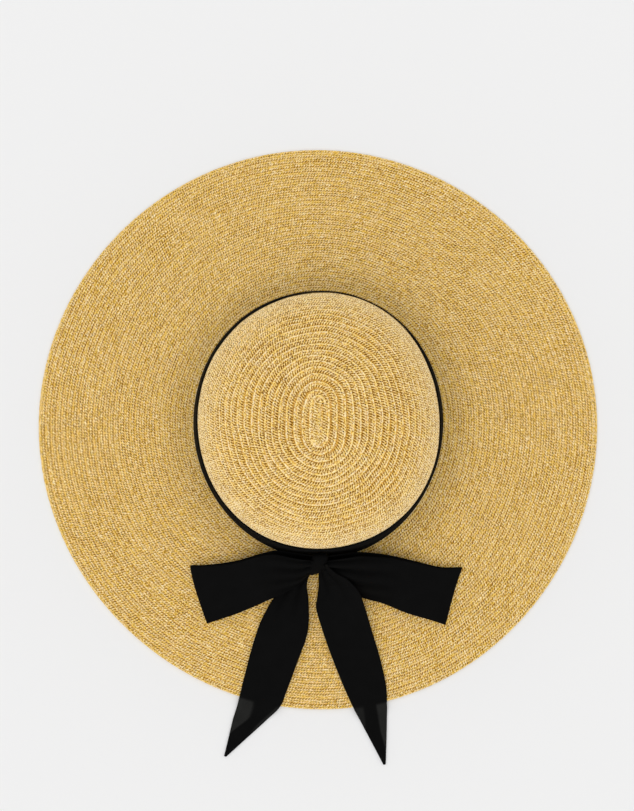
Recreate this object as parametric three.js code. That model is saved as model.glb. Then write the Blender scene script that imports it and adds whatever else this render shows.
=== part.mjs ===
// A wide-brimmed floppy sun hat of sewn straw braid, with a plain ribbon round its
// crown that is tied in a bow at the front. Millimetres, +Z up, the front towards -Y.
// The origin is on the hat's axis, in the plane of the brim's lower edge.
import * as THREE from 'three';

// Straw
const strawWall = 2;            // braid rows overlap, so the wall is two plies
const rimRadius = 215;          // the brim's outer edge, a circle
const rimFlat = 4;              // the last row lies flat on the table
const rimSlope = 0.14;          // the brim's slope just inside that row
const brimRise = 30;            // from the rim up to the foot of the crown
const baseHalfWidth = 91.6;     // outside of the crown's foot, measured across
const crownTop = 130;
const domeHalfWidth = 86;       // where the dome passes into the side wall
const domeRise = 53;
const domeEnd = THREE.MathUtils.degToRad(84);
const seamGap = 0.3;            // between pieces that touch
const stripHalf = 10;           // the strip at the tip has no stretch on the axis itself

// The head is longer than it is wide, so each round of braid is drawn out to front
// and back by a stretch, and its middle is shifted a little along Y.
const footStretch = 6.6;
const shoulderStretch = 4.9;
const tipStretch = 7.1;         // more at the tip, where the braid starts as a strip
const tipStretchReach = 38;
const footShift = 1.2;
const shoulderShift = 1.6;
const tipShift = -1.1;

// Ribbon
const ribbonThickness = 0.8;
const bandHeight = 44;
const bandClearance = 0.4;
const fallStart = 1;            // past the rim, where a tail starts to drop to the table
const fallEnd = 12;
const loopStartGap = 2.5;       // between the two layers of a bow loop at the knot
const loopMidGap = 5.5;
const loopEndGap = 2.4;
const loopTurn = 0.04;          // share of a loop's strip that goes round its folded end
const loopGapReach = 1.1;       // the layers close up a little before that fold

const straw = { color: 0xd3ae6b, roughness: 0.8, metalness: 0 };
const ribbon = { color: 0x121212, roughness: 0.85, metalness: 0 };

const roundSteps = 72;

const brimSpan = rimRadius - rimFlat - baseHalfWidth;
const baseTop = strawWall + brimRise;
const wallTop = crownTop - domeRise * (1 - Math.cos(domeEnd));
const wallTopHalfWidth = domeHalfWidth * Math.sin(domeEnd);

// How far inside the rim's flat row a half width is: 0 there, 1 at the crown's foot.
function inward(out) {
  return THREE.MathUtils.clamp((rimRadius - rimFlat - out) / brimSpan, 0, 1);
}

function brimTop(out) {
  const near = inward(out);
  const straight = rimSlope * brimSpan;
  return strawWall + straight * near + (brimRise - straight) * near * near;
}

function wallHalfWidth(height) {
  const down = (wallTop - height) / (wallTop - baseTop);
  return wallTopHalfWidth + (baseHalfWidth - wallTopHalfWidth) * down;
}

function crownStretch(out, height) {
  const down = Math.max(0, (wallTop - height) / (wallTop - baseTop));
  const atAxis = Math.min(1, out / stripHalf);
  const drawn = tipStretch * Math.exp(-((out / tipStretchReach) ** 2));
  return atAxis * (shoulderStretch + (footStretch - shoulderStretch) * down + drawn);
}

function crownShift(out, height) {
  if (height < wallTop) {
    return THREE.MathUtils.mapLinear(height, baseTop, wallTop, footShift, shoulderShift);
  }
  return THREE.MathUtils.mapLinear(height, wallTop, crownTop, shoulderShift, tipShift);
}

// Turns a closed profile of [half width, height] points about Z, draws each ring out
// to the head's oval and shifts it. A profile runs up on its outer side.
function ovalRing(profile, stretchAt, shiftAt) {
  const points = profile.map(([out, height]) => new THREE.Vector2(out, height));
  const geometry = new THREE.LatheGeometry(points, roundSteps);
  geometry.rotateX(Math.PI / 2);
  const place = geometry.attributes.position;
  for (let i = 0; i < place.count; i += 1) {
    const x = place.getX(i);
    const y = place.getY(i);
    const height = place.getZ(i);
    const out = Math.hypot(x, y);
    const side = out > 0 ? y / out : 0;
    place.setY(i, y + stretchAt(out, height) * side + shiftAt(out, height));
  }
  return geometry;
}

function domeProfile(wall, steps) {
  const points = [];
  for (let i = 0; i <= steps; i += 1) {
    const angle = domeEnd * (1 - i / steps);
    const out = (domeHalfWidth - wall) * Math.sin(angle);
    const height = crownTop - wall - (domeRise - wall) * (1 - Math.cos(angle));
    points.push([i === steps ? 0 : out, height]);
  }
  return points;
}

function crownGeometry() {
  const foot = baseTop + seamGap;
  const middle = (baseTop + wallTop) / 2;
  const outer = [
    [baseHalfWidth, foot],
    [wallHalfWidth(middle), middle],
    ...domeProfile(0, 10),
  ];
  const inner = [
    [baseHalfWidth - strawWall, foot],
    [wallHalfWidth(middle) - strawWall, middle],
    ...domeProfile(strawWall, 8),
  ];
  return ovalRing([...inner.reverse(), ...outer], crownStretch, crownShift);
}

function brimGeometry() {
  const steps = 7;
  const top = [];
  const under = [];
  for (let i = 0; i <= steps; i += 1) {
    const out = baseHalfWidth + brimSpan * (i / steps);
    under.push([out, brimTop(out) - strawWall]);
    top.push([out, brimTop(out)]);
  }
  const lip = baseHalfWidth - strawWall;
  const profile = [
    [lip, baseTop - strawWall],
    ...under,
    [rimRadius, 0],
    [rimRadius, strawWall],
    ...top.reverse(),
    [lip, baseTop],
    [lip, baseTop - strawWall],
  ];
  return ovalRing(
    profile,
    (out) => footStretch * inward(out),
    (out) => footShift * inward(out),
  );
}

function bandGeometry() {
  const low = baseTop + 1;
  const rows = [0, 0.5, 1];
  const outer = [];
  const inner = [];
  for (const row of rows) {
    const height = low + bandHeight * row;
    const out = wallHalfWidth(height) + bandClearance;
    inner.push([out, height]);
    outer.push([out + ribbonThickness, height]);
  }
  const profile = [...outer, ...inner.reverse(), outer[0]];
  return ovalRing(profile, crownStretch, crownShift);
}

// The brim's half width under a point of the plan: the oval that passes through it.
function halfWidthUnder(x, y) {
  let out = Math.hypot(x, y);
  for (let i = 0; i < 5; i += 1) {
    const near = inward(out);
    const stretched = out + footStretch * near;
    out = Math.hypot(x, ((y - footShift * near) * out) / stretched);
  }
  return out;
}

// What a tail lies on: the brim, and past the rim the table, reached in a short fall.
function underTail(x, y) {
  const out = halfWidthUnder(x, y);
  const fall = THREE.MathUtils.smoothstep(out, rimRadius + fallStart, rimRadius + fallEnd);
  return brimTop(out) * (1 - fall);
}

// A strip of cloth: surface(across, along) with both from 0 to 1, and half the
// thickness added on each side along its normal.
function clothGeometry(surface, acrossSteps, alongSteps) {
  const geometry = new THREE.BoxGeometry(1, 1, 1, acrossSteps, alongSteps, 1);
  const place = geometry.attributes.position;
  const step = 1e-3;
  for (let i = 0; i < place.count; i += 1) {
    const across = place.getX(i) + 0.5;
    const along = place.getY(i) + 0.5;
    const a = Math.min(across, 1 - step);
    const b = Math.min(along, 1 - step);
    const here = surface(a, b);
    const sideways = surface(a + step, b).sub(here);
    const forwards = surface(a, b + step).sub(here);
    const normal = sideways.cross(forwards).normalize();
    const point = surface(across, along);
    point.addScaledVector(normal, place.getZ(i) * ribbonThickness);
    place.setXYZ(i, point.x, point.y, point.z);
  }
  return geometry;
}

// A smooth surface between two edges, each a curve through one column of a table.
function betweenEdges(rows, oneEdge, otherEdge) {
  const one = new THREE.CatmullRomCurve3(rows.map(oneEdge), false, 'centripetal');
  const other = new THREE.CatmullRomCurve3(rows.map(otherEdge), false, 'centripetal');
  return (across, along) => one.getPoint(along).lerp(other.getPoint(along), across);
}

// The lower layer of each loop, from the knot to its folded end. crown is the edge
// on the crown's side and brim the edge on the brim's side, each as x, y, z.
const leftLoopRows = [
  { crown: [-4.8, -94, 66], brim: [-5.2, -108.6, 38] },
  { crown: [-17, -93.6, 60], brim: [-11.6, -118, 34] },
  { crown: [-30.5, -92.4, 51], brim: [-23.4, -124.4, 29] },
  { crown: [-42.8, -95.2, 41], brim: [-36.3, -128.5, 25] },
  { crown: [-63, -101.3, 30], brim: [-58.8, -138.6, 17.4] },
  { crown: [-84.8, -104.4, 21.8], brim: [-77.1, -145.8, 13] },
  { crown: [-94.6, -104.6, 19.4], brim: [-82.6, -148, 11.8] },
];
const rightLoopRows = [
  { crown: [7.9, -94, 66], brim: [8.3, -108.6, 38] },
  { crown: [19.2, -93.8, 60], brim: [18.2, -118.6, 33.5] },
  { crown: [31.3, -93.6, 51], brim: [31.6, -127.4, 26.4] },
  { crown: [51.2, -96.2, 38.4], brim: [48.2, -132, 21] },
  { crown: [72.6, -101.4, 27.4], brim: [65.7, -139, 16] },
  { crown: [91.8, -106.1, 20.4], brim: [83.3, -145, 12.2] },
  { crown: [106.8, -106.2, 17.4], brim: [94.6, -149.2, 10.4] },
];

function loopGeometry(rows, mirrored) {
  const asVector = (edge) => (row) => new THREE.Vector3(...row[edge]);
  const first = mirrored ? 'brim' : 'crown';
  const second = mirrored ? 'crown' : 'brim';
  const lower = betweenEdges(rows, asVector(first), asVector(second));
  const layer = (1 - loopTurn) / 2;
  const step = 1e-3;
  const surface = (across, along) => {
    const outwards = Math.min(1, Math.min(along, 1 - along) / layer);
    const d = Math.min(outwards, 1 - step);
    const here = lower(across, d);
    const tangent = lower(across, d + step).sub(here);
    const a = Math.min(across, 1 - step);
    const sideways = lower(a + step, d).sub(lower(a, d));
    const normal = tangent.clone().cross(sideways).normalize();
    tangent.normalize();
    const towardsMid = Math.sin(Math.PI * Math.min(1, outwards * loopGapReach));
    const plain = THREE.MathUtils.lerp(loopStartGap, loopEndGap, outwards);
    const gap = plain + (loopMidGap - plain) * Math.max(0, towardsMid);
    const point = lower(across, outwards);
    if (along > layer && along < 1 - layer) {
      const round = (Math.PI * (along - layer)) / loopTurn;
      point.addScaledVector(normal, (gap / 2) * (1 - Math.cos(round)));
      point.addScaledVector(tangent, (gap / 2) * Math.sin(round));
    } else if (along >= 1 - layer) {
      point.addScaledVector(normal, gap);
    }
    return point;
  };
  return clothGeometry(surface, 4, 24);
}

// The tails, from the knot to the tip. left and right are the edges as x, y, and
// lift is the height above the brim or the table at each of them.
const leftTailRows = [
  { left: [-12.5, -113], right: [-6.6, -114], lift: [3.4, 5] },
  { left: [-24, -118.5], right: [-8.4, -119.5], lift: [1.3, 2.6] },
  { left: [-37, -129.8], right: [-7.7, -130.4], lift: [0.9, 1.2] },
  { left: [-47.7, -158.8], right: [-9, -158.7], lift: [0.9, 0.9] },
  { left: [-52.4, -174.9], right: [-14.7, -174.8], lift: [0.9, 0.9] },
  { left: [-58.7, -199.5], right: [-23.8, -199.5], lift: [0.9, 0.9] },
  { left: [-61.8, -212], right: [-29.1, -212.2], lift: [0.9, 0.9] },
  { left: [-64.9, -222], right: [-39, -222.2], lift: [0.9, 0.9] },
  { left: [-68.2, -236], right: [-54.9, -236.5], lift: [0.9, 0.9] },
  { left: [-71.4, -249.6], right: [-70, -249.9], lift: [0.9, 0.9] },
];
const rightTailRows = [
  { left: [2, -113.5], right: [13.5, -109], lift: [11, 25] },
  { left: [0.2, -119.8], right: [21.6, -114], lift: [6, 23] },
  { left: [-1, -128.9], right: [29.2, -122.6], lift: [3, 19] },
  { left: [-1.6, -137.5], right: [33.8, -133.2], lift: [0.9, 11] },
  { left: [4.2, -157], right: [41.4, -158], lift: [0.9, 1] },
  { left: [9.5, -172.5], right: [46.1, -173.4], lift: [0.9, 0.9] },
  { left: [18.6, -195.6], right: [51.2, -195.8], lift: [0.9, 0.9] },
  { left: [26.2, -212.6], right: [52, -212], lift: [0.9, 0.9] },
  { left: [31.9, -223.4], right: [51.9, -224.1], lift: [0.9, 0.9] },
  { left: [39.9, -238.3], right: [51.5, -239.1], lift: [0.9, 0.9] },
  { left: [49.4, -256], right: [50.8, -255.6], lift: [0.9, 0.9] },
];

function tailGeometry(rows) {
  const flat = (edge) => (row) => new THREE.Vector3(...row[edge], row.lift[edge === 'left' ? 0 : 1]);
  const plan = betweenEdges(rows, flat('right'), flat('left'));
  const surface = (across, along) => {
    const point = plan(across, along);
    point.z += underTail(point.x, point.y);
    return point;
  };
  return clothGeometry(surface, 5, 22);
}

// The knot: the ribbon's own width gathered over the band, a rounded block that
// leans out from the band's top edge to the brim.
const knotCentre = new THREE.Vector3(1.6, -102.2, 55);
const knotHalf = { width: 5.6, length: 18, depth: 4.8 };
const knotLean = THREE.MathUtils.degToRad(-22);
const knotSquareness = 0.55;

function knotGeometry() {
  const geometry = new THREE.SphereGeometry(1, 16, 12);
  const place = geometry.attributes.position;
  const squared = (value) => Math.sign(value) * Math.abs(value) ** knotSquareness;
  for (let i = 0; i < place.count; i += 1) {
    const x = knotHalf.width * squared(place.getX(i));
    const y = knotHalf.depth * place.getZ(i);
    const z = knotHalf.length * squared(place.getY(i));
    place.setXYZ(i, x, -y, z);
  }
  return geometry;
}

function piece(name, geometry, finish) {
  const mesh = new THREE.Mesh(geometry, new THREE.MeshStandardMaterial(finish));
  mesh.name = name;
  return mesh;
}

const knot = piece('bow_knot', knotGeometry(), ribbon);
knot.position.copy(knotCentre);
knot.rotation.x = knotLean;

const bow = new THREE.Group();
bow.add(
  knot,
  piece('bow_loop_left', loopGeometry(leftLoopRows, false), ribbon),
  piece('bow_loop_right', loopGeometry(rightLoopRows, true), ribbon),
  piece('bow_tail_left', tailGeometry(leftTailRows), ribbon),
  piece('bow_tail_right', tailGeometry(rightTailRows), ribbon),
);

const hat = new THREE.Group();
hat.add(
  piece('crown', crownGeometry(), straw),
  piece('brim', brimGeometry(), straw),
  piece('ribbon_band', bandGeometry(), ribbon),
  bow,
);

export default hat;
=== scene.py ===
import bmesh
import bpy
import math
import numpy as np
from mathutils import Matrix, Vector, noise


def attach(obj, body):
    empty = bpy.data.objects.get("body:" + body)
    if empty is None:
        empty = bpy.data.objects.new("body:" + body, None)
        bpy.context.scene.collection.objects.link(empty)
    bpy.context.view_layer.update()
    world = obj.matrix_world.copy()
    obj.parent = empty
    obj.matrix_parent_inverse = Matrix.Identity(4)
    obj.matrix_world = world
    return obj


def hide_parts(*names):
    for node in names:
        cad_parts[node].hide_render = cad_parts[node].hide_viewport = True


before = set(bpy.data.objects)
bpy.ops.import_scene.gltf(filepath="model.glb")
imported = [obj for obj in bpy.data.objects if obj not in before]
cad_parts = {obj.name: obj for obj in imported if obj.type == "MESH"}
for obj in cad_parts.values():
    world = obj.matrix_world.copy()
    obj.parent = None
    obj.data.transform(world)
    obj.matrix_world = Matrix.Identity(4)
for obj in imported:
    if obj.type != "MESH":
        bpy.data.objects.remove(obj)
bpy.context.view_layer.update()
mm = 0.001
scene = bpy.context.scene


def fromBytes(red, green, blue):  # a screen colour as the linear colour that shaders take
    def linear(value):
        value /= 255
        return value / 12.92 if value <= 0.04045 else ((value + 0.055) / 1.055) ** 2.4

    return (linear(red), linear(green), linear(blue), 1)


# camera, light and floor

studio = {
    "cameraPlace": (-0.0011, -0.0500, 1.060),
    "cameraTilt": 3.6,              # degrees from straight down
    "lens": 61.18,
    "nearest": 0.05,                # metres from the camera
    "daylight": 0.854,
    "keyStrength": 0.53,
    "keyFrom": (-0.24, -0.34, 1.0),
    "keySoftness": 55,              # degrees that the lamp fills, seen from the hat
    "floorColour": (240, 240, 240),
    "floorRoughness": 0.9,
    "floorShine": 0.1,
    "floorReach": 25,               # metres from the hat to the floor's edge
}


def addObject(name, data):
    made = bpy.data.objects.new(name, data)
    scene.collection.objects.link(made)
    return made


def newMaterial(name):
    material = bpy.data.materials.new(name)
    material.use_nodes = True
    return material, material.node_tree, material.node_tree.nodes["Principled BSDF"]


def makeCamera():
    data = bpy.data.cameras.new("camera")
    data.lens = studio["lens"]
    data.clip_start = studio["nearest"]
    camera = addObject("camera", data)
    camera.location = studio["cameraPlace"]
    camera.rotation_euler = (math.radians(studio["cameraTilt"]), 0, 0)
    scene.camera = camera


def makeStudio():
    scene.view_settings.view_transform = "Standard"
    world = bpy.data.worlds.new("studio")
    scene.world = world
    world.use_nodes = True
    sky = world.node_tree.nodes["Background"]
    sky.inputs["Color"].default_value = (1, 1, 1, 1)
    sky.inputs["Strength"].default_value = studio["daylight"]
    data = bpy.data.lights.new("softKey", "SUN")
    data.energy = studio["keyStrength"]
    data.angle = math.radians(studio["keySoftness"])
    lamp = addObject("softKey", data)
    lamp.location = studio["keyFrom"]
    lamp.rotation_euler = (-Vector(studio["keyFrom"])).to_track_quat("-Z", "Y").to_euler()
    mesh = bpy.data.meshes.new("floor")
    reach = studio["floorReach"]
    corners = [(-reach, -reach, 0), (reach, -reach, 0), (reach, reach, 0), (-reach, reach, 0)]
    mesh.from_pydata(corners, [], [(0, 1, 2, 3)])
    floor = addObject("floor", mesh)
    paint, _, skin = newMaterial("floorPaint")
    skin.inputs["Base Color"].default_value = fromBytes(*studio["floorColour"])
    skin.inputs["Roughness"].default_value = studio["floorRoughness"]
    skin.inputs["Specular IOR Level"].default_value = studio["floorShine"]
    mesh.materials.append(paint)


makeCamera()
makeStudio()
print("camera, light and floor are set")


# node helpers

class Wire:  # a node output that takes part in sums as a number does
    def __init__(self, tree, socket):
        self.tree = tree
        self.socket = socket

    def calc(self, operation, *others):
        node = self.tree.nodes.new("ShaderNodeMath")
        node.operation = operation
        for socket, value in zip(node.inputs, (self, *others)):
            plug(self.tree, socket, value)
        return Wire(self.tree, node.outputs[0])

    def __add__(self, other):
        return self.calc("ADD", other)

    def __sub__(self, other):
        return self.calc("SUBTRACT", other)

    def __mul__(self, other):
        return self.calc("MULTIPLY", other)

    def __truediv__(self, other):
        return self.calc("DIVIDE", other)

    def __rsub__(self, other):
        return (self * -1) + other

    __radd__ = __add__
    __rmul__ = __mul__

    def between(self, low, high):  # a smooth step from 0 at low to 1 at high
        node = self.tree.nodes.new("ShaderNodeMapRange")
        node.interpolation_type = "SMOOTHSTEP"
        plug(self.tree, node.inputs["Value"], self)
        node.inputs["From Min"].default_value = low
        node.inputs["From Max"].default_value = high
        return Wire(self.tree, node.outputs[0])

    def bump(self, centre, width):  # 1 at the centre, falling to 0 at the width on each side
        return 1 - (self - centre).calc("ABSOLUTE").between(0, width)


def plug(tree, socket, value):
    if isinstance(value, Wire):
        tree.links.new(value.socket, socket)
    elif isinstance(value, bpy.types.NodeSocket):
        tree.links.new(value, socket)
    else:
        socket.default_value = value


def addNode(tree, kind, inputs=None, **settings):
    node = tree.nodes.new(kind)
    for name, value in settings.items():
        setattr(node, name, value)
    for name, value in (inputs or {}).items():
        plug(tree, node.inputs[name], value)
    return node


def vector(tree, x, y, z):
    node = addNode(tree, "ShaderNodeCombineXYZ", {0: x, 1: y, 2: z})
    return node.outputs[0]


def parts(tree, socket):
    node = addNode(tree, "ShaderNodeSeparateXYZ", {0: socket})
    return [Wire(tree, output) for output in node.outputs]


def vectorMath(tree, operation, first, second, scale=None):
    node = addNode(tree, "ShaderNodeVectorMath", operation=operation)
    plug(tree, node.inputs[0], first)
    if second is not None:
        plug(tree, node.inputs[1], second)
    if scale is not None:
        plug(tree, node.inputs["Scale"], scale)
    return node.outputs[0]


def noiseNode(tree, place, scale, detail):
    return addNode(tree, "ShaderNodeTexNoise", {"Vector": place, "Scale": scale, "Detail": detail})


def blend(tree, look, share, first, second):  # of two colours, each a socket or a name in the look
    node = addNode(tree, "ShaderNodeMix", data_type="RGBA")
    plug(tree, node.inputs["Factor"], share)
    colours = [socket for socket in node.inputs if socket.type == "RGBA"]
    for socket, colour in zip(colours, (first, second)):
        plug(tree, socket, fromBytes(*look[colour]) if isinstance(colour, str) else colour)
    return next(socket for socket in node.outputs if socket.type == "RGBA")


def addRelief(tree, look, skin, height):
    node = addNode(tree, "ShaderNodeBump", {"Height": height, "Distance": look["relief"]})
    node.inputs["Strength"].default_value = look["reliefStrength"]
    plug(tree, skin.inputs["Normal"], node.outputs[0])


# the hat's outline: half width, height and how the round is drawn out to an oval

hat = {
    "wall": 2 * mm,
    "rimRadius": 215 * mm,
    "rimFlat": 4 * mm,
    "rimSlope": 0.14,
    "brimRise": 30 * mm,
    "footHalfWidth": 91.6 * mm,
    "crownTop": 130 * mm,
    "domeHalfWidth": 86 * mm,
    "domeRise": 53 * mm,
    "domeEnd": math.radians(84),
    "footStretch": 6.6 * mm,
    "shoulderStretch": 4.9 * mm,
    "tipStretch": 7.1 * mm,
    "tipReach": 38 * mm,
    "footShift": 1.2 * mm,
    "shoulderShift": 1.6 * mm,
    "tipShift": -1.1 * mm,
    "seam": 0.3 * mm,               # from the crown's last row up from the brim
    # how uneven the round is: waves in one turn, size in mm, degrees to the first crest
    "shoulderWaves": [(0, 0.6, 0), (1, 0.6, -55), (3, 0.45, -128), (4, 0.6, -145)],
    "footWaves": [(0, 0.7, 0), (3, 0.5, 120)],
    "rimWaves": [(0, -0.45, 0), (1, 1.25, 99), (2, 0.55, -110), (3, 0.55, 114), (4, 0.55, 25)],
}
footHeight = hat["wall"] + hat["brimRise"]
brimSpan = hat["rimRadius"] - hat["rimFlat"] - hat["footHalfWidth"]
wallTop = hat["crownTop"] - hat["domeRise"] * (1 - math.cos(hat["domeEnd"]))
wallTopHalfWidth = hat["domeHalfWidth"] * math.sin(hat["domeEnd"])


def mix(start, end, share):
    return start + (end - start) * share


def clamp(value, low=0.0, high=1.0):
    return max(low, min(high, value))


def smooth(value, low, high):
    share = clamp((value - low) / (high - low))
    return share * share * (3 - 2 * share)


def inward(out):  # 0 at the rim's flat row, 1 at the foot of the crown
    return clamp((hat["rimRadius"] - hat["rimFlat"] - out) / brimSpan)


def brimTop(out):
    near = inward(out)
    straight = hat["rimSlope"] * brimSpan
    return hat["wall"] + straight * near + (hat["brimRise"] - straight) * near**2


def wallHalfWidth(height):
    return mix(wallTopHalfWidth, hat["footHalfWidth"], (wallTop - height) / (wallTop - footHeight))


def crownStretch(out, height):
    down = max(0, (wallTop - height) / (wallTop - footHeight))
    drawn = hat["tipStretch"] * math.exp(-(out / hat["tipReach"]) ** 2)
    return mix(hat["shoulderStretch"], hat["footStretch"], down) + drawn


def crownShift(height):
    if height < wallTop:
        share = (height - footHeight) / (wallTop - footHeight)
        return mix(hat["footShift"], hat["shoulderShift"], share)
    share = (height - wallTop) / (hat["crownTop"] - wallTop)
    return mix(hat["shoulderShift"], hat["tipShift"], share)


def crownSwell(out, height):  # shares of the shoulder's waves and of the foot's at a place
    down = clamp((wallTop - height) / (wallTop - footHeight))
    return (smooth(out / hat["domeHalfWidth"], 0.3, 0.95) * (1 - down), down)


def ripple(angle, waves, cosine=math.cos):
    return sum(size * mm * cosine(count * angle - math.radians(first)) for count, size, first in waves)


# from the tip down to the foot, a depth inside the surface
def crownOutline(inside, domeSteps=90, wallSteps=20):
    places = []
    for i in range(domeSteps + 1):
        angle = hat["domeEnd"] * i / domeSteps
        out = (hat["domeHalfWidth"] - inside) * math.sin(angle)
        drop = (hat["domeRise"] - inside) * (1 - math.cos(angle))
        places.append((out, hat["crownTop"] - inside - drop))
    for i in range(1, wallSteps + 1):
        height = mix(wallTop, footHeight + hat["seam"], i / wallSteps)
        places.append((wallHalfWidth(height) - inside, height))
    rows = []
    for out, height in places:
        row = (out, height, crownStretch(out, height), crownShift(height), *crownSwell(out, height), 0)
        rows.append(row)
    return rows


def brimOutline(inside, steps=80):  # from the lip under the crown out to the rim
    rows = []
    for i in range(steps + 1):
        out = mix(hat["footHalfWidth"] - hat["wall"], hat["rimRadius"], i / steps)
        near = inward(out)
        drawn = (hat["footStretch"] * near, hat["footShift"] * near)
        rows.append((out, brimTop(out) - inside, *drawn, 0, near**2, 1 - near))
    return rows


def outlineLength(rows):
    steps = zip(rows, rows[1:])
    return sum(math.hypot(b[0] - a[0], b[1] - a[1]) for a, b in steps)


def outlineMesh(name, rows):
    mesh = bpy.data.meshes.new(name)
    edges = [(i, i + 1) for i in range(len(rows) - 1)]
    mesh.from_pydata([(row[0], 0, row[1]) for row in rows], edges, [])
    for column, label in enumerate(("stretch", "shift", "shoulder", "foot", "rim"), start=2):
        attribute = mesh.attributes.new(label, "FLOAT", "POINT")
        attribute.data.foreach_set("value", [row[column] for row in rows])
    return mesh


# the straw braid, laid in a spiral along an outline and sewn row over row

braid = {
    "repeat": 4.83 * mm,          # length in which the plait repeats
    "thickness": 1.15 * mm,
    "overlap": 1.3 * mm,          # how far a row reaches under the row inside it
    "lean": 0.20,                 # slope of a row that lies on the next one
    "wander": 0.35 * mm,
    "wanderScale": 45.0,
    "driftScale": 34.0,
    "driftEnds": (60 * mm, 100 * mm),  # from the tip, where the rows stop straying
    "beadRise": 0.45,
    "beadReach": 0.12,
    "plainShare": 0.8,            # how thick the section is away from the bead
    "sectionPoints": 12,
    "lap": 0.3,                   # turns in which an end of the braid comes to lie over another
    "squareness": 2.5,            # of the first strip's ends
    "earlyTurns": 4,              # the first turns lie wider apart than the others
    "firstWider": 0.38,           # and the first strip is left wider
}


def braidTree():
    tree = bpy.data.node_groups.new("sewnBraid", "GeometryNodeTree")
    face = tree.interface
    face.new_socket("Outline", in_out="INPUT", socket_type="NodeSocketGeometry")
    starts = {
        "Row Pitch": 0.005,
        "First Row": 0.0,
        "Last Row": 0.1,
        "Early Reach": 0.002,
        "Lead In": 0.0,
        "Turns": 30.0,
        "Start Turn": 0.0,
        "Steps Per Turn": 200,
        "Braid Width": 0.006,
        "Braid Thickness": 0.001,
        "Lean": 0.2,
        "Bead Rise": 0.4,
        "Plait Repeat": 0.005,
        "Strip Reach": 0.03,
        "Wander": 0.0003,
        "Drift": 0.0,
        "Seed": 1.0,
    }
    for label, start in starts.items():
        kind = "NodeSocketInt" if isinstance(start, int) else "NodeSocketFloat"
        face.new_socket(label, in_out="INPUT", socket_type=kind).default_value = start
    face.new_socket("Straw", in_out="INPUT", socket_type="NodeSocketMaterial")
    face.new_socket("Hat", in_out="OUTPUT", socket_type="NodeSocketGeometry")
    given = tree.nodes.new("NodeGroupInput")

    def take(label):
        return Wire(tree, given.outputs[label])

    def store(made, label, value):  # keeps a value on the points that a node gives
        kept = {"Geometry": made.outputs[0], "Name": label, "Value": value}
        return addNode(tree, "GeometryNodeStoreNamedAttribute", kept, data_type="FLOAT", domain="POINT")

    outline = addNode(tree, "GeometryNodeMeshToCurve", {"Mesh": given.outputs["Outline"]})
    count = take("Turns") * take("Steps Per Turn") + 1
    dots = addNode(tree, "GeometryNodeMeshLine", {"Count": count, "Offset": (mm, 0, 0)})
    thread = addNode(tree, "GeometryNodeMeshToCurve", {"Mesh": dots.outputs[0]})
    index = Wire(tree, addNode(tree, "GeometryNodeInputIndex").outputs[0])
    turn = index / take("Steps Per Turn")
    climb = (turn - take("Lead In")).calc("MAXIMUM", 0.0)
    early = climb.between(0, braid["earlyTurns"]) * take("Early Reach")
    along = (take("First Row") + take("Row Pitch") * climb + early).calc("MINIMUM", take("Last Row"))

    def sampled(label):
        named = addNode(tree, "GeometryNodeInputNamedAttribute", {"Name": label})
        wanted = {"Curves": outline.outputs[0], "Value": named.outputs[0], "Length": along}
        return addNode(tree, "GeometryNodeSampleCurve", wanted, mode="LENGTH")

    stretched = sampled("stretch")
    stretch = Wire(tree, stretched.outputs["Value"])
    shift = Wire(tree, sampled("shift").outputs["Value"])
    plainOut, _, height = parts(tree, stretched.outputs["Position"])
    runOut, _, runUp = parts(tree, stretched.outputs["Tangent"])

    # round the head: a straight strip at the tip that passes into ovals
    angle = (turn + take("Start Turn")) * math.tau
    cosine = angle.calc("COSINE")
    sine = angle.calc("SINE")
    out = plainOut
    for label in ("shoulder", "foot", "rim"):
        waves = ripple(angle, hat[label + "Waves"], lambda wire: wire.calc("COSINE"))
        out = out + waves * Wire(tree, sampled(label).outputs["Value"])
    centre = ((out / take("Strip Reach")).calc("POWER", 2.0) * -1).calc("EXPONENT")
    square = braid["squareness"]
    straight = (sine * square).calc("TANH") * (1 / math.tanh(square))
    side = sine + (straight - sine) * centre
    normal = vector(tree, runUp * cosine * -1, runUp * sine * -1, runOut)

    # where two rounds share a place, the earlier lies over the later one
    lap = braid["lap"]
    startRaised = (1 - turn.between(0, lap)) * take("Lead In")
    nextLowered = turn.bump(1, lap) * take("Lead In")
    lastStart = take("Turns") - 1
    endRaised = 1 - (turn - lastStart).calc("ABSOLUTE").between(0, lap)
    endLowered = (turn - take("Turns")).between(-0.35, -0.1)
    layer = startRaised - nextLowered + endRaised - endLowered
    lift = layer * take("Braid Thickness") * 0.5

    plain = vector(tree, cosine * out, sine * out + side * stretch + shift, height)
    seeded = vectorMath(tree, "ADD", plain, vector(tree, take("Seed"), 0.0, 0.0))
    rough = noiseNode(tree, seeded, braid["wanderScale"], 1.0)
    uneven = (Wire(tree, rough.outputs[0]) - 0.5) * take("Wander") * 2
    settled = 1 - (turn - take("Turns")).between(-2.0, -1.0)
    raised = vectorMath(tree, "SCALE", normal, None, lift + uneven * settled)
    slow = noiseNode(tree, seeded, braid["driftScale"], 1.0)
    aside = vectorMath(tree, "SUBTRACT", slow.outputs["Color"], (0.5, 0.5, 0.5))
    flat = vectorMath(tree, "MULTIPLY", aside, (1, 1, 0))
    onTop = 1 - along.between(*braid["driftEnds"])
    drifted = vectorMath(tree, "SCALE", flat, None, take("Drift") * onTop)
    place = vectorMath(tree, "ADD", vectorMath(tree, "ADD", plain, raised), drifted)
    laid = addNode(tree, "GeometryNodeSetPosition", {"Geometry": thread.outputs[0], "Position": place})

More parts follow.
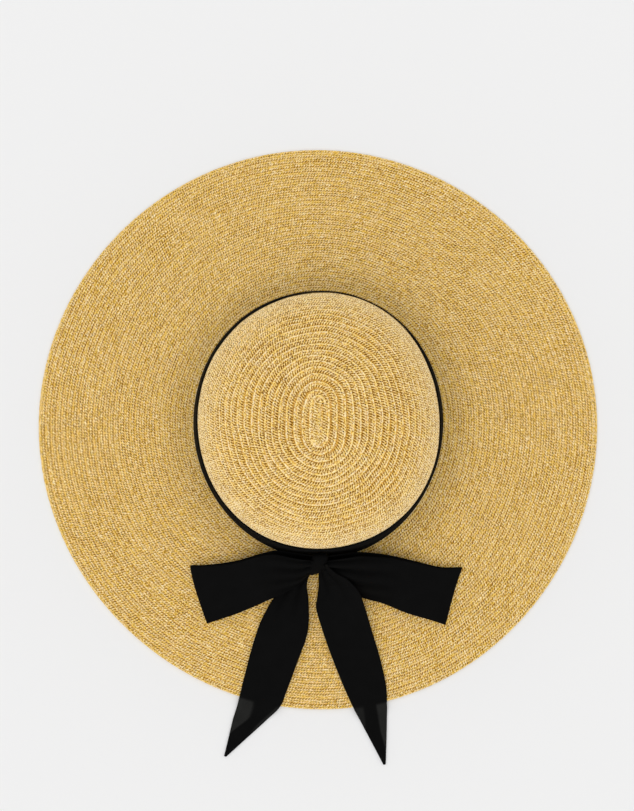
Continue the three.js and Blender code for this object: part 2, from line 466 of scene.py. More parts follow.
    # each row leans, so that its outer edge lies on the next row
    tangent = addNode(tree, "GeometryNodeInputTangent").outputs[0]
    outwards = vectorMath(tree, "CROSS_PRODUCT", tangent, normal)
    leaning = vectorMath(tree, "SCALE", outwards, None, take("Lean") * -1)
    upright = vectorMath(tree, "NORMALIZE", vectorMath(tree, "ADD", normal, leaning), None)
    facing = {"Curve": laid.outputs[0], "Normal": upright}
    turned = addNode(tree, "GeometryNodeSetCurveNormal", facing, mode="FREE")
    runLength = Wire(tree, addNode(tree, "GeometryNodeSplineParameter").outputs["Length"])
    marked = store(turned, "braidAlong", runLength / take("Plait Repeat"))
    counted = store(marked, "braidRow", turn)

    # the section: flat, with a round bead along the outer edge
    ring = addNode(tree, "GeometryNodeCurvePrimitiveCircle", {"Radius": 1.0})
    ring.inputs["Resolution"].default_value = braid["sectionPoints"]
    spot = parts(tree, addNode(tree, "GeometryNodeInputPosition").outputs[0])
    inside = (1 - spot[0]) * 0.5
    reach = inside / braid["beadReach"]
    bead = (reach.calc("POWER", 2.0) * -1).calc("EXPONENT") * take("Bead Rise")
    rounded = spot[1].calc("ABSOLUTE").calc("POWER", 0.5) * spot[1].calc("SIGN")
    thick = rounded * (bead + braid["plainShare"]) * take("Braid Thickness") * -0.5
    wide = spot[0] * take("Braid Width") * 0.5
    measured = store(ring, "braidAcross", inside)
    section = addNode(tree, "GeometryNodeSetPosition", {"Geometry": measured.outputs[0]})
    plug(tree, section.inputs["Position"], vector(tree, thick, wide, 0.0))

    widened = addNode(tree, "GeometryNodeSetCurveRadius", {"Curve": counted.outputs[0]})
    first = (1 - turn.between(0.6, 1.1)) * (1 - take("Lead In"))
    plug(tree, widened.inputs["Radius"], first * braid["firstWider"] + 1)

    swept = addNode(tree, "GeometryNodeCurveToMesh", {"Curve": widened.outputs[0]})
    radius = addNode(tree, "GeometryNodeInputRadius").outputs[0]
    plug(tree, swept.inputs["Scale"], radius)
    plug(tree, swept.inputs["Profile Curve"], section.outputs[0])
    swept.inputs["Fill Caps"].default_value = True
    sweptPlace = addNode(tree, "GeometryNodeInputPosition").outputs[0]
    pressed = addNode(tree, "GeometryNodeSetPosition", {"Geometry": swept.outputs[0]})
    plug(tree, pressed.inputs["Position"], vectorMath(tree, "MAXIMUM", sweptPlace, (-1, -1, 0)))
    soft = addNode(tree, "GeometryNodeSetShadeSmooth", {"Geometry": pressed.outputs[0]})
    real = addNode(tree, "GeometryNodeRealizeInstances", {"Geometry": soft.outputs[0]})
    dressed = addNode(tree, "GeometryNodeSetMaterial", {"Geometry": real.outputs[0]})
    plug(tree, dressed.inputs["Material"], given.outputs["Straw"])
    done = tree.nodes.new("NodeGroupOutput")
    plug(tree, done.inputs[0], dressed.outputs[0])
    return tree


def grow(name, mesh, tree, values):  # runs a tree on a mesh and keeps the result as a plain mesh
    source = addObject(name + "Source", mesh)
    modifier = source.modifiers.new(name, "NODES")
    modifier.node_group = tree
    for item in tree.interface.items_tree:
        if item.item_type == "SOCKET" and item.name in values:
            modifier[item.identifier] = values[item.name]
    evaluated = source.evaluated_get(bpy.context.evaluated_depsgraph_get())
    made = bpy.data.meshes.new_from_object(evaluated)
    bpy.data.objects.remove(source)
    made.name = name
    return addObject(name, made)


def sewStraw(name, node, outline, rows, straw):
    length = outlineLength(outline)
    lastRow = length - (length / rows["count"] + braid["overlap"]) / 2
    pitch = (lastRow - rows["first"] - rows["early"]) / rows["count"]
    piece = grow(name, outlineMesh(name, outline), sewnBraid, {
        "Row Pitch": pitch,
        "First Row": rows["first"],
        "Last Row": lastRow,
        "Early Reach": rows["early"],
        "Lead In": float(rows["leadIn"]),
        "Turns": float(rows["count"] + 1 + rows["leadIn"]),
        "Start Turn": rows["start"],
        "Steps Per Turn": rows["steps"],
        "Braid Width": pitch + braid["overlap"],
        "Braid Thickness": braid["thickness"],
        "Lean": braid["lean"],
        "Bead Rise": braid["beadRise"],
        "Plait Repeat": braid["repeat"],
        "Strip Reach": hat["tipReach"],
        "Wander": braid["wander"],
        "Drift": rows["drift"],
        "Seed": rows["seed"],
        "Straw": straw,
    })
    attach(piece, "root")
    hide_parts(node)
    print(name, rows["count"], "rows,", round(pitch / mm, 2), "mm apart")


# straw material

strawLook = {
    "shown": 0.785,               # share of a row's width that the row inside it leaves bare
    "strokes": 2.6,               # strands in one repeat of the plait
    "slant": 0.42,                # repeats that a strand runs on while it crosses the row
    "sway": 0.5,                  # how unevenly the strands follow each other
    "stagger": 0.15,              # strands that the dots lie ahead of the gaps
    "ragged": 0.14,               # how uneven the edges of the bead and of the groove are
    "cleft": (0.3, 0.8),          # where gaps and dots begin and are full, from a strand's middle
    "gapEnds": (0.38, 0.68),      # where across the row the gaps begin and are full
    "grooveShadowEnds": (0.76, 0.96),   # the same for the painted shadow in the groove beside the inner row
    "beadEnds": (0.05, 0.15),     # where the bead ends
    "dotLine": 0.35,              # where across the row the dots lie
    "dotReach": 0.17,
    "lightLine": 0.66,            # where across the row the strands get a painted highlight, as if catching the light
    "lightReach": 0.26,
    "bead": (253, 232, 156),
    "beadShade": (240, 202, 108),
    "pale": (243, 220, 178),
    "gold": (247, 207, 86),
    # the painted highlight on the strands, also the straw's light specks and the first row's inner edge
    "light": (255, 248, 198),
    "amber": (227, 168, 48),      # painted shade: straw in the shade beside a gap or dot, also a tone of the dark specks
    # painted shadow in the groove under the inner row's edge
    "grooveShadow": (222, 164, 68),
    # painted shade in the gaps between the strands, also the darkest tone of the straw's dark specks
    "gap": (92, 50, 0),
    # painted shade in the dots and open holes
    "holeShade": (46, 26, 2),
    "level": 1.115,               # how light the whole is
    "wear": 0.03,                 # how far the tone changes from place to place
    "strandTone": 0.06,           # and from strand to strand
    "paintedSideLight": 0.03,                # painted light: how much lighter the outer rows are, on the crown's sloping sides
    "footShade": 0.0,             # painted shade: how much darker the first rows are, on the brim by the crown's foot
    "flecks": 0.75,               # how much the straw's tone changes along one strand
    "grain": 0.85,                # how strong the straw's own light and dark specks are
    "speckShade": 0.95,           # how dark the dark ones are
    "calm": 0.68,                 # how much fainter the gaps are in the outer rows
    "tipCalm": 0.08,              # and in the first rows
    "tipPlain": 0.35,             # how much fainter the beads are in the first rows
    "paintedSideLightRows": (8, 22),         # rows over which these come and go
    "footRows": (0, 9),
    "calmRows": (11, 23),
    "tipRows": (0, 5),
    "grooveShadowDepth": 0.6,
    "gapShadeDepth": 1.25,
    "dotShadeDepth": 0.8,
    "holes": 0.36,                # how often a dot is an open hole
    "beadBreaks": 0.75,           # how far the gaps between the strands cut into the bead
    "grainScale": 1200.0,         # noise sizes, from the straw's specks to worn places
    "fineScale": 640.0,
    "looseScale": 110.0,
    "wearScale": 22.0,
    "roughness": 0.45,
    "shine": 0.05,
    "relief": 0.4 * mm,
    "reliefStrength": 0.7,
    "lastRow": 99.0,              # the turn from which the row is the rim's
}


def strawMaterial(name, **changes):
    look = {**strawLook, **changes}
    material, tree, skin = newMaterial(name)

    def attribute(label):
        node = addNode(tree, "ShaderNodeAttribute", attribute_name=label)
        return Wire(tree, node.outputs["Fac"])

    def chance(number, salt):  # a random value from 0 to 1 for each whole number
        node = addNode(tree, "ShaderNodeTexWhiteNoise", {"W": number + salt}, noise_dimensions="1D")
        return Wire(tree, node.outputs["Value"])

    def cloud(label, detail):
        place = addNode(tree, "ShaderNodeTexCoord").outputs["Object"]
        return Wire(tree, noiseNode(tree, place, look[label], detail).outputs["Fac"])

    def paint(share, first, second):
        return blend(tree, look, share, first, second)

    along = attribute("braidAlong")
    across = attribute("braidAcross")
    row = attribute("braidRow")
    grain = cloud("grainScale", 1.0)
    fine = cloud("fineScale", 2.0)
    loose = cloud("looseScale", 2.0)
    wear = cloud("wearScale", 2.0)
    first = 1 - row.between(0.85, 1.05)
    tip = 1 - row.between(*look["tipRows"])
    rim = row.between(look["lastRow"] - 0.06, look["lastRow"] + 0.04)
    seen = across / look["shown"] + (loose - 0.5) * 0.03 + (fine - 0.5) * look["ragged"]

    # strands that cross the row at a slant, with painted shade in the gap between them by the inner row
    count = (along - seen * look["slant"]) * look["strokes"] + (fine - 0.5) * look["sway"]
    strand = count.calc("FLOOR")
    offCentre = (count - strand - 0.5).calc("ABSOLUTE") * 2
    cleft = offCentre.between(*look["cleft"])
    tone = chance(strand, 11.5)
    onStrand = vector(tree, count * 1.2, seen * 3.0, row * 5.0)
    mottle = noiseNode(tree, onStrand, 1.0, 1.0)
    fleck = Wire(tree, mottle.outputs["Fac"]).between(0.4, 0.6)
    calm = (1 - row.between(*look["calmRows"]) * look["calm"]) * (1 - tip * look["tipCalm"])
    depth = (chance(strand, 3.5) * 0.45 + 0.42) * calm
    inner = seen.between(*look["gapEnds"]) * (1 - seen.between(0.86, 1.0) * 0.6)
    gapShare = inner * (1 - first * 0.25)
    gap = cleft * gapShare * depth * look["gapShadeDepth"]
    # a painted highlight along the middle of each strand in that band
    inLight = seen.bump(look["lightLine"], look["lightReach"])
    paintedStrandHighlight = (1 - offCentre.between(0.1, 0.8)) * inLight * (tone * 0.6 + 0.5)

    # a line of dots painted dark as shade in the plait's openings between the bead and the strands,
    # some of them open holes
    ahead = count + look["stagger"]
    dotNumber = ahead.calc("FLOOR")
    offDot = (ahead - dotNumber - 0.5).calc("ABSOLUTE") * 2
    speck = offDot.between(*look["cleft"]) * seen.bump(look["dotLine"], look["dotReach"])
    pierced = chance(dotNumber, 7.5).between(1 - look["holes"], 1.02 - look["holes"])
    darkness = chance(dotNumber, 5.5).calc("POWER", 2.0) * 1.1 + 0.15
    dot = speck * (darkness * calm * look["dotShadeDepth"] + pierced * 0.6)
    # painted shade on the straw around the gaps and dots
    besideGap = offCentre.between(-0.3, 0.5) * gapShare
    besideDot = offDot.between(-0.3, 0.5) * seen.bump(look["dotLine"], 0.24)
    shade = (besideGap.calc("MAXIMUM", besideDot) * depth * 1.2).calc("MINIMUM", 1.0) * 0.85

    # the straw's colour, from its plain tones and painted highlight to the painted shade in the groove,
    # gaps and dots, then the bead and specks
    # painted shadow where the inner row's edge lies over this row
    grooveShadow = seen.between(*look["grooveShadowEnds"]) * look["grooveShadowDepth"] * (1 - first)
    bead = (1 - seen.between(*look["beadEnds"])) * (1 - tip * look["tipPlain"])
    broken = 1 - cleft * look["beadBreaks"]
    beadTone = (tone * 0.5 + fleck * 0.5 + loose * 0.2).between(0.25, 0.9)
    lightSpecks = (1 - grain.between(0.28, 0.42)) * look["grain"]
    darkSpecks = grain.between(0.53, 0.68) * look["grain"]
    warm = (seen.between(0.42, 0.6) * (1 - look["flecks"]) + fleck * look["flecks"]) * calm
    colour = paint(warm, "pale", "gold")
    colour = paint(paintedStrandHighlight, colour, "light")
    colour = paint(grooveShadow, colour, "grooveShadow")
    colour = paint(lightSpecks, colour, "light")
    colour = paint(shade, colour, "amber")
    colour = paint(gap.calc("MINIMUM", 1.0), colour, "gap")
    colour = paint(dot.calc("MINIMUM", 1.0), colour, "holeShade")
    colour = paint(across.between(0.88, 0.98) * first * 0.5, colour, "light")
    edge = paint(beadTone, "bead", "beadShade")
    colour = paint(bead * broken * (1 - rim * 0.7), colour, edge)
    colour = paint(darkSpecks, colour, "amber")
    colour = paint(darkSpecks * look["speckShade"], colour, "gap")
    toned = addNode(tree, "ShaderNodeHueSaturation", {"Color": colour})
    # painted light on the crown's outer rows, on its sloping sides
    paintedSideLight = row.between(*look["paintedSideLightRows"]) * look["paintedSideLight"]
    # painted shade on the brim's first rows, where the crown's foot shades them
    paintedFootShade = (1 - row.between(*look["footRows"])) * look["footShade"]
    strandTone = (wear - 0.5) * look["wear"] + (tone - 0.5) * look["strandTone"]
    plug(tree, toned.inputs["Value"], paintedSideLight - paintedFootShade + strandTone + look["level"])
    plug(tree, skin.inputs["Base Color"], toned.outputs[0])
    plug(tree, skin.inputs["Roughness"], fine * 0.25 + look["roughness"])
    skin.inputs["Specular IOR Level"].default_value = look["shine"]

    roundness = 1 - offCentre * offCentre
    relief = roundness * seen.between(0.2, 0.4) * 0.6 - dot * 0.6 - gap * 0.4 + bead * 0.4
    addRelief(tree, look, skin, relief)
    return material


crownRows = {
    "count": 29,
    "first": 2.0 * mm,            # from the tip to the middle of the first row
    "early": 2.0 * mm,            # what the first turns gain in all by lying wider apart
    "leadIn": 0.42,               # turns before the spiral starts to climb
    "start": 0.083,               # the turn's share at which the braid starts
    "steps": 180,                 # points in a turn
    "drift": 5 * mm,              # how far the rows on top of the crown stray sideways
    "seed": 3.0,
}
brimRows = {
    "count": 29,
    "first": 2.75 * mm,           # from the lip under the crown
    "early": 0.0,
    "leadIn": 1,
    "start": 0.72,
    "steps": 230,
    "drift": 0.0,
    "seed": 8.0,
}
brimLook = {                      # where the brim's plait differs from the crown's
    "shown": 0.755,
    "strokes": 2.3,
    "slant": 0.7,
    "sway": 1.3,
    "stagger": 0.5,
    "ragged": 0.5,
    "gapEnds": (0.5, 0.75),
    "bead": (246, 214, 132),
    "beadShade": (230, 184, 88),
    "pale": (241, 214, 162),
    "gold": (241, 202, 82),
    "light": (255, 249, 214),
    "amber": (222, 166, 34),
    "gap": (98, 52, 0),
    "holeShade": (72, 40, 0),
    "level": 1.06,
    "paintedSideLight": 0.0,
    "footShade": 0.18,
    "flecks": 0.85,
    "grain": 0.95,
    "speckShade": 0.6,
    "calm": 0.0,
    "tipCalm": 0.0,
    "tipPlain": 0.0,
    "grooveShadowDepth": 0.4,
    "dotShadeDepth": 1.3,
    "beadBreaks": 0.9,
    "lastRow": 30.0,
}
crownFinish = strawMaterial("crownPlait")
brimFinish = strawMaterial("brimPlait", **brimLook)
sewnBraid = braidTree()
halfWall = hat["wall"] / 2
sewStraw("crownStraw", "crown", crownOutline(halfWall), crownRows, crownFinish)
sewStraw("brimStraw", "brim", brimOutline(halfWall), brimRows, brimFinish)
print("straw is sewn")


# black chiffon ribbon: thin closed shells of cloth

ribbonLook = {
    "thickness": 0.45 * mm,
    "weave": 0.42 * mm,             # pitch of the threads
    "colour": (13, 13, 13),
    "sheerLightAndFoldShade": (38, 38, 37),          # painted light: one layer of the cloth with the light behind it
    "shine": 0.018,
    "sheen": 0.003,
    "foldShade": 0.95,              # painted shade: how dark the cloth is in gathered folds
    "roughness": 0.62,
    "sheenRoughness": 0.5,
    "slubScale": 90.0,              # noise sizes: uneven threads, and the crepe of the cloth
    "crepeScale": 900.0,
    "relief": 0.1 * mm,
    "reliefStrength": 0.6,
}


def ribbonMaterial(name, **changes):
    look = {**ribbonLook, **changes}
    material, tree, skin = newMaterial(name)
    sheerLightAndFoldShade = Wire(tree, addNode(tree, "ShaderNodeAttribute", attribute_name="sheerLightAndFoldShade").outputs["Fac"])
    cloth = addNode(tree, "ShaderNodeUVMap", uv_map="cloth").outputs[0]
    across, along, _ = parts(tree, cloth)
    threads = (across * (math.tau / look["weave"])).calc("SINE")
    crossing = threads * (along * (math.tau / look["weave"])).calc("SINE")
    place = addNode(tree, "ShaderNodeTexCoord").outputs["Object"]
    uneven = Wire(tree, noiseNode(tree, place, look["slubScale"], 4.0).outputs["Fac"])
    grain = Wire(tree, noiseNode(tree, place, look["crepeScale"], 2.0).outputs["Fac"])
    # painted light where one layer of cloth lets the light through
    clear = (sheerLightAndFoldShade * (grain * 0.5 + 0.75)).calc("MAXIMUM", 0.0).calc("MINIMUM", 1.0)
    dyed = blend(tree, look, clear, "colour", "sheerLightAndFoldShade")
    toned = addNode(tree, "ShaderNodeHueSaturation", {"Color": dyed})
    # painted shade: the cloth is darker where the value is below 0, in gathered folds and creases
    paintedFoldShade = 1 + sheerLightAndFoldShade.calc("MINIMUM", 0.0) * look["foldShade"]
    plug(tree, toned.inputs["Value"], (uneven * 0.6 + 0.7 + crossing * 0.15) * paintedFoldShade)
    plug(tree, skin.inputs["Base Color"], toned.outputs[0])
    plug(tree, skin.inputs["Roughness"], uneven * 0.2 + look["roughness"])
    skin.inputs["Specular IOR Level"].default_value = look["shine"]
    skin.inputs["Sheen Weight"].default_value = look["sheen"]
    skin.inputs["Sheen Roughness"].default_value = look["sheenRoughness"]
    relief = crossing * 0.5 + grain
    addRelief(tree, look, skin, relief)
    return material


# a strip of cloth with both its faces and its edges, from a surface given across and along
def clothShell(name, surface, steps, closed=False, paintedLightAndShadeAt=None):
    across = np.linspace(0, 1, steps["across"] + 1)
    along = np.linspace(0, 1, steps["along"] + 1)[: -1 if closed else None]
    grid = np.array([[surface(a, b) for a in across] for b in along])
    if closed:
        wrapped = np.concatenate([grid[-1:], grid, grid[:1]])
        forwards = wrapped[2:] - wrapped[:-2]
    else:
        forwards = np.gradient(grid, axis=0)
    sideways = np.gradient(grid, axis=1)
    normal = np.cross(sideways, forwards)
    normal /= np.linalg.norm(normal, axis=2, keepdims=True)
    halfThick = normal * ribbonLook["thickness"] / 2
    rows, columns = grid.shape[:2]
    points = np.concatenate([(grid + halfThick).reshape(-1, 3), (grid - halfThick).reshape(-1, 3)])
    count = rows * columns

    def upper(i, j):
        return (i % rows) * columns + j

    faces = []
    for i in range(rows if closed else rows - 1):
        for j in range(columns - 1):
            quad = (upper(i, j), upper(i, j + 1), upper(i + 1, j + 1), upper(i + 1, j))
            faces.append(quad)
            faces.append(tuple(index + count for index in reversed(quad)))
        for j in (0, columns - 1):
            one, two = upper(i, j), upper(i + 1, j)
            quad = (one, two, two + count, one + count)
            faces.append(quad if j == 0 else tuple(reversed(quad)))
    if not closed:
        for i in (0, rows - 1):
            for j in range(columns - 1):
                one, two = upper(i, j), upper(i, j + 1)
                quad = (one, one + count, two + count, two)
                faces.append(quad if i == 0 else tuple(reversed(quad)))
    mesh = bpy.data.meshes.new(name)
    mesh.from_pydata(points.tolist(), [], faces)
    mesh.polygons.foreach_set("use_smooth", [True] * len(faces))

    # the cloth's own measures, across and along, as its texture map
    spacing = np.linalg.norm(np.diff(grid, axis=1), axis=2).mean(0)
    acrossRun = np.concatenate([[0], np.cumsum(spacing)])
    spacing = np.linalg.norm(np.diff(grid, axis=0), axis=2).mean(1)
    alongRun = np.concatenate([[0], np.cumsum(spacing)])
    cloth = mesh.uv_layers.new(name="cloth")
    for corner in mesh.loops:
        row, column = divmod(corner.vertex_index % count, columns)
        cloth.data[corner.index].uv = (acrossRun[column], alongRun[row])
    # above 0, painted light through one layer of cloth; below 0, painted shade in the folds
    sheerLightAndFoldShade = mesh.attributes.new("sheerLightAndFoldShade", "FLOAT", "POINT")
    values = np.zeros((rows, columns))
    if paintedLightAndShadeAt:
        values = np.array([[paintedLightAndShadeAt(a, b, surface(a, b)) for a in across] for b in along])
    sheerLightAndFoldShade.data.foreach_set("value", np.concatenate([values.ravel(), values.ravel()]))
    mesh.materials.append(chiffon)
    return addObject(name, mesh), acrossRun[-1], alongRun[-1]


def splineThrough(points):  # a smooth curve through rows of numbers, sampled from 0 to 1
    points = np.array(points, dtype=float) * mm
    ends = [2 * points[0] - points[1], *points, 2 * points[-1] - points[-2]]

    def sample(share):
        place = clamp(share) * (len(points) - 1)
        i = min(int(place), len(points) - 2)
        t = place - i
        before, start, end, after = ends[i : i + 4]
        return 0.5 * (
            2 * start
            + (end - before) * t
            + (2 * before - 5 * start + 4 * end - after) * t**2
            + (3 * start - before - 3 * end + after) * t**3
        )

    return sample


band = {
    "low": 1 * mm,                  # above the foot of the crown
    "height": 44 * mm,
    "clear": 0.75 * mm,
    "foldDepth": 0.7 * mm,
    "foldRise": 0.09,               # shares of the height in which a fold rises and falls
    "foldFall": 0.03,
    # folds that run round: share of the height, how far they rise and fall, waves, phase
    "folds": [
        (0.2, 0.05, 2, 0.4),
        (0.42, 0.07, 3, 2.1),
        (0.63, 0.05, 2, 4.0),
        (0.83, 0.04, 3, 5.2),
    ],
    "steps": {"across": 28, "along": 240},
}


def bandSurface(across, along):
    angle = math.tau * along
    height = footHeight + mix(band["low"], band["low"] + band["height"], across)
    out = wallHalfWidth(height) + band["clear"]
    for label, swell in zip(("shoulder", "foot"), crownSwell(hat["domeHalfWidth"], height)):
        out += swell * ripple(angle, hat[label + "Waves"])
    for middle, rise, waves, phase in band["folds"]:
        line = middle + rise * math.sin(waves * angle + phase)
        depth = 0.5 + 0.5 * math.sin(angle * (waves + 1) + phase * 2.3)
        rising = smooth(across, line - band["foldRise"], line)
        falling = smooth(across, line, line + band["foldFall"])
        out += band["foldDepth"] * depth * (rising - falling)
    stretch = crownStretch(out, height)
    y = (out + stretch) * math.sin(angle) + crownShift(height)
    return (out * math.cos(angle), y, height)


# the loops' lower layers from the knot to the folded end, in millimetres: the edge
# towards the crown, then the edge towards the brim
loopLeft = [
    ((-1.5, -95, 67), (-1.5, -106.7, 42)),
    ((-9, -94.2, 64), (-8, -111.3, 38)),
    ((-17, -93.6, 60), (-14.9, -118.4, 35)),
    ((-30.5, -92.4, 51), (-25.9, -124.3, 30.5)),
    ((-42.8, -95.2, 41), (-36.3, -128.5, 26)),
    ((-63, -101.3, 30), (-58.8, -138.6, 17.4)),
    ((-84.8, -104.4, 21.8), (-77.1, -145.8, 13)),
    ((-94.6, -104.6, 19.4), (-82.6, -148, 11.8)),
]
loopRight = [
    ((4.5, -95, 67), (5.3, -108.6, 38)),
    ((19.2, -93.8, 60), (18.2, -118.6, 33.5)),
    ((31.3, -93.6, 51), (31.6, -127.4, 26.4)),
    ((51.2, -96.2, 38.4), (48.2, -132, 21)),
    ((72.6, -101.4, 27.4), (65.7, -139, 16)),
    ((91.8, -106.1, 20.4), (83.3, -145, 12.2)),
    ((106.8, -106.2, 17.4), (94.6, -149.2, 10.4)),
]
loop = {
    "startGap": 2.5 * mm,           # between the two layers at the knot
    "midGap": 5.5 * mm,
    "endGap": 2.4 * mm,
    "turn": 0.04,                   # share of the strip that goes round the end's fold
    "pleats": 3.5,
    "pleatDepth": 1.3 * mm,
    "pleatReach": 0.42,
    "fan": 0.6,                     # pleats by which they spread on the way out
    "pressed": 0.85,                # how far the layers close up along the brim's edge
    "crumple": 0.8 * mm,
    "crumpleScale": 45,
    "width": 45 * mm,
    "steps": {"across": 26, "along": 150},
}
loopLayer = (1 - loop["turn"]) / 2  # share of the strip that lies in one layer


# the share of the width from the crown's side, how far out, and where in the pleats
def loopPlace(across, along, mirrored):
    share = 1 - across if mirrored else across
    outwards = min(1, min(along, 1 - along) / loopLayer)
    return share, outwards, share * loop["pleats"] + loop["fan"] * outwards


def loopSurface(rows, mirrored, bulge, seed):
    crownEdge = splineThrough([row[0] for row in rows])
    brimEdge = splineThrough([row[1] for row in rows])
    step = 1e-3

    def surface(across, along):
        share, outwards, fan = loopPlace(across, along, mirrored)
        here = min(outwards, 1 - step)
        point = mix(crownEdge(here), brimEdge(here), share)
        ahead = mix(crownEdge(here + step), brimEdge(here + step), share) - point
        sideways = (brimEdge(here) - crownEdge(here)) * (-1 if mirrored else 1)
        normal = np.cross(ahead, sideways)
        normal /= np.linalg.norm(normal)
        ahead /= np.linalg.norm(ahead)
        towardsMid = max(0, math.sin(math.pi * min(1, outwards * 1.1)))
        plain = mix(loop["startGap"], loop["endGap"], outwards)
        gap = mix(plain, loop["midGap"], towardsMid)
        point = mix(crownEdge(outwards), brimEdge(outwards), share)
        point += ahead * bulge * math.sin(math.pi * share**0.7) * smooth(outwards, 0.75, 1)
        gather = max(0, 1 - outwards / loop["pleatReach"]) ** 1.5
        pleat = loop["pleatDepth"] * gather * (1 + math.cos(math.tau * fan))
        lowerEdge = smooth(share, 0.55, 1) * (1 - smooth(outwards, 0.35, 0.75))
        gap *= 1 - loop["pressed"] * lowerEdge
        pleat *= 1 - loop["pressed"] * lowerEdge
        spot = Vector(point) * loop["crumpleScale"] + Vector((seed, 0, 0))
        crumple = noise.noise(spot) * loop["crumple"]
        if loopLayer < along < 1 - loopLayer:
            bend = math.pi * (along - loopLayer) / loop["turn"]
            half = gap / 2
            return point + normal * half * (1 - math.cos(bend)) + ahead * half * math.sin(bend)
        if along >= 1 - loopLayer:
            return point + normal * (gap + pleat + crumple * math.sin(math.pi * outwards))
        return point + normal * pleat * 0.5

    return surface


def loopPaintedFoldShade(mirrored):  # painted fold shade: below 0 in the valleys between the pleats at the knot
    def shade(across, along, point):
        _, outwards, fan = loopPlace(across, along, mirrored)
        gather = max(0, 1 - outwards / (loop["pleatReach"] * 1.4)) ** 0.7
        return -gather * (0.55 - 0.45 * math.cos(math.tau * fan))

    return shade


# the tails from the knot to the tip, in millimetres: left edge, right edge, and the
# height of each over the brim or the table
tailLeft = [
    ((-10, -108.5), (-5.8, -109.3), (9, 11)),
    ((-14.5, -113.6), (-8, -114.5), (3.6, 5.4)),
    ((-24, -119), (-8.6, -120), (2.0, 4.2)),
    ((-34, -129.8), (-7.4, -130.4), (2.2, 4.8)),
    ((-42.5, -145), (-7.1, -146), (2.4, 4.8)),
    ((-47.7, -158.8), (-9, -158.7), (2.2, 4.2)),
    ((-52.4, -174.9), (-14.7, -174.8), (1.8, 3.2)),
    ((-58.7, -199.5), (-23.8, -199.5), (1.1, 1.6)),
    ((-61.8, -212), (-29.1, -212.2), (0.9, 0.9)),
    ((-64.9, -222), (-39, -222.2), (0.9, 0.9)),
    ((-68.2, -236), (-54.9, -236.5), (0.9, 0.9)),
    ((-71.4, -249.6), (-70, -249.9), (0.9, 0.9)),
]
tailRight = [
    ((1.5, -103.5), (6, -101), (29, 40)),
    ((0.4, -108), (8, -104.5), (14, 29)),
    ((0.2, -113.5), (13.5, -109), (10, 26)),
    ((0.2, -119.8), (21.6, -114), (6, 23)),
    ((-1, -128.9), (29.2, -122.6), (3, 19)),
    ((-1.6, -137.5), (33.8, -133.2), (3.2, 11)),
    ((4.2, -157), (41.4, -158), (3.6, 3)),
    ((9.5, -172.5), (46.1, -173.4), (3.0, 2.4)),
    ((18.6, -195.6), (51.2, -195.8), (1.6, 1.4)),
    ((26.2, -212.6), (52, -212), (0.9, 0.9)),
    ((31.9, -223.4), (51.9, -224.1), (0.9, 0.9)),
    ((39.9, -238.3), (51.5, -239.1), (0.9, 0.9)),
    ((49.4, -256), (50.8, -255.6), (0.9, 0.9)),
]
tail = {
    "fallStart": 1 * mm,            # past the rim, where a tail drops to the table
    "fallEnd": 12 * mm,
    "pleats": 2.5,
    "pleatStart": 0.15,
    "pleatDepth": 2.2 * mm,
    "ripple": 1.1 * mm,
    "rippleScale": 28,
    "steps": {"across": 24, "along": 140},
}


def halfWidthUnder(x, y):  # the brim's half width below a point of the plan
    angle = math.atan2(y, x)
    out = math.hypot(x, y)
    for _ in range(5):
        near = inward(out)
        swell = ripple(angle, hat["footWaves"]) * near**2
        swell += ripple(angle, hat["rimWaves"]) * (1 - near)
        stretched = out + swell + hat["footStretch"] * near
        out = math.hypot(x, (y - hat["footShift"] * near) * (out + swell) / stretched) - swell
    return out


def underTail(x, y):
    out = halfWidthUnder(x, y)
    edge = hat["rimRadius"]
    fall = smooth(out, edge + tail["fallStart"], edge + tail["fallEnd"])
    return brimTop(out) * (1 - fall)


def tailCrease(across):  # 0 in the valleys between the pleats and 1 on top of them
    return abs(math.sin(math.pi * (across * tail["pleats"] + tail["pleatStart"])))


def tailSurface(rows, seed):
    leftEdge = splineThrough([(*row[0], row[2][0]) for row in rows])
    rightEdge = splineThrough([(*row[1], row[2][1]) for row in rows])

    def surface(across, along):
        point = mix(rightEdge(along), leftEdge(along), across)
        point[2] += underTail(point[0], point[1])
        gather = max(0, 1 - along / 0.5) ** 1.3
        spot = Vector((point[0], point[1], seed * mm)) * tail["rippleScale"]
        loose = 0.5 + 0.5 * noise.noise(spot)
        edges = math.sin(math.pi * across) * smooth(along, 0, 0.1)
        point[2] += tail["pleatDepth"] * tailCrease(across) * gather
        point[2] += tail["ripple"] * loose * edges
        return point

    return surface


# where one layer of cloth is left past the rim, painted light as if lit from behind: how clear it is,
# from where to where along the tail, and from where to where across it at the start and at the end
panesLeft = [
    (0.85, (0.64, 0.93), (0.68, 1.1), (0.4, 1.1)),
    (0.7, (0.7, 0.96), (-0.1, 0.1), (-0.1, 0.24)),
]
panesRight = [
    (0.5, (0.68, 0.93), (0.58, 1.1), (0.88, 1.1)),
    (0.9, (0.68, 1.02), (-0.1, 0.36), (-0.1, 0.3)),
]


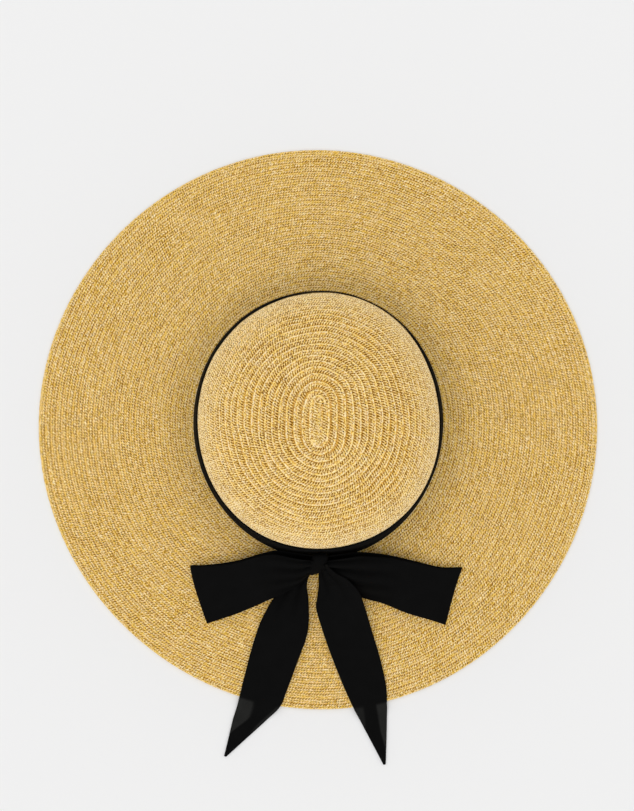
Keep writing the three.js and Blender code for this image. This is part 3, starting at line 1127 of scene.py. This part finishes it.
def tailPaintedLightAndShade(panes):
    def sheerLightAndFoldShade(across, along, point):
        out = halfWidthUnder(point[0], point[1])
        past = smooth(out, hat["rimRadius"] - 0.5 * mm, hat["rimRadius"] + 1.5 * mm)
        gather = max(0, 1 - along / 0.42) ** 1.2
        clearest = 0
        for clear, (start, end), first, last in panes:
            run = (along - start) / (end - start)
            low = mix(first[0], last[0], run)
            high = mix(first[1], last[1], run)
            if high > 1:
                low = mix(low, high, smooth(run, 0.55, 1))
            else:
                high = mix(high, low, smooth(run, 0.55, 1))
            inside = smooth(across, low, low + 0.08) * (1 - smooth(across, high - 0.08, high))
            clearest = max(clearest, clear * inside * (start < along < end))
        # painted light in the panes, less painted shade in the creases near the knot
        return past * clearest - gather * (1 - 0.85 * tailCrease(across))

    return sheerLightAndFoldShade


knot = {
    "centre": (1.6 * mm, -102.2 * mm, 55 * mm),
    "half": (6.2 * mm, 4.8 * mm, 18.5 * mm),  # width, depth and length
    "lean": math.radians(-22),
    "squareness": 0.55,
    "pleats": 3.0,
    "pleatDepth": 0.16,
    "drawnAside": -8.5 * mm,        # how far its lower end is pulled towards one side
    "taper": 0.2,
    "segments": 64,
    "rings": 40,
}


def tieKnot():
    mesh = bpy.data.meshes.new("bowKnot")
    ball = bmesh.new()
    sides, rings = knot["segments"], knot["rings"]
    bmesh.ops.create_uvsphere(ball, u_segments=sides, v_segments=rings, radius=1)
    halfWidth, halfDepth, halfLength = knot["half"]
    cosine, sine = math.cos(knot["lean"]), math.sin(knot["lean"])
    for point in ball.verts:
        x, y, z = point.co
        x = math.copysign(abs(x) ** knot["squareness"], x)
        z = math.copysign(abs(z) ** knot["squareness"], z)
        crease = abs(math.sin(math.pi * knot["pleats"] * (x + 0.2 * z) / 2))
        down = (1 - z) / 2
        x = x * halfWidth * (1 - knot["taper"] * down) + knot["drawnAside"] * down**1.5
        y = y * halfDepth * (1 - knot["pleatDepth"] * crease)
        z = z * halfLength
        turned = (x, y * cosine - z * sine, y * sine + z * cosine)
        point.co = Vector(turned) + Vector(knot["centre"])
    bmesh.ops.recalc_face_normals(ball, faces=ball.faces)
    ball.to_mesh(mesh)
    ball.free()
    mesh.polygons.foreach_set("use_smooth", [True] * len(mesh.polygons))
    mesh.materials.append(knotShadedChiffon)
    return addObject("bowKnot", mesh)


chiffon = ribbonMaterial("blackChiffon")
# painted shade: a darker, less shiny copy of the chiffon for the knot
knotShadedChiffon = ribbonMaterial("knotShadedChiffon", colour=(10, 10, 10), shine=0.013)


def dress(piece, node):
    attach(piece, "root")
    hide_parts(node)


def makeBand():
    piece, wide, run = clothShell("bandRibbon", bandSurface, band["steps"], closed=True)
    dress(piece, "ribbon_band")
    print("bandRibbon", round(run / mm), "mm round")


def makeLoop(name, node, rows, mirrored, bulge, seed):
    surface = loopSurface(rows, mirrored, bulge, seed)
    paintedLightAndShadeAt = loopPaintedFoldShade(mirrored)
    piece, wide, run = clothShell(name, surface, loop["steps"], paintedLightAndShadeAt=paintedLightAndShadeAt)
    dress(piece, node)
    print(name, round(run / mm), "mm of ribbon")


def makeTail(name, node, rows, panes, seed):
    surface = tailSurface(rows, seed)
    piece, wide, run = clothShell(name, surface, tail["steps"], paintedLightAndShadeAt=tailPaintedLightAndShade(panes))
    dress(piece, node)
    run * wide
    print(name, round(run / mm), "mm of ribbon")


makeBand()
makeLoop("bowLoopLeft", "bow_loop_left", loopLeft, mirrored=False, bulge=1.3 * mm, seed=4.0)
makeLoop("bowLoopRight", "bow_loop_right", loopRight, mirrored=True, bulge=-0.9 * mm, seed=9.0)
makeTail("bowTailLeft", "bow_tail_left", tailLeft, panesLeft, seed=2.0)
makeTail("bowTailRight", "bow_tail_right", tailRight, panesRight, seed=6.0)
dress(tieKnot(), "bow_knot")
print("ribbon is tied")
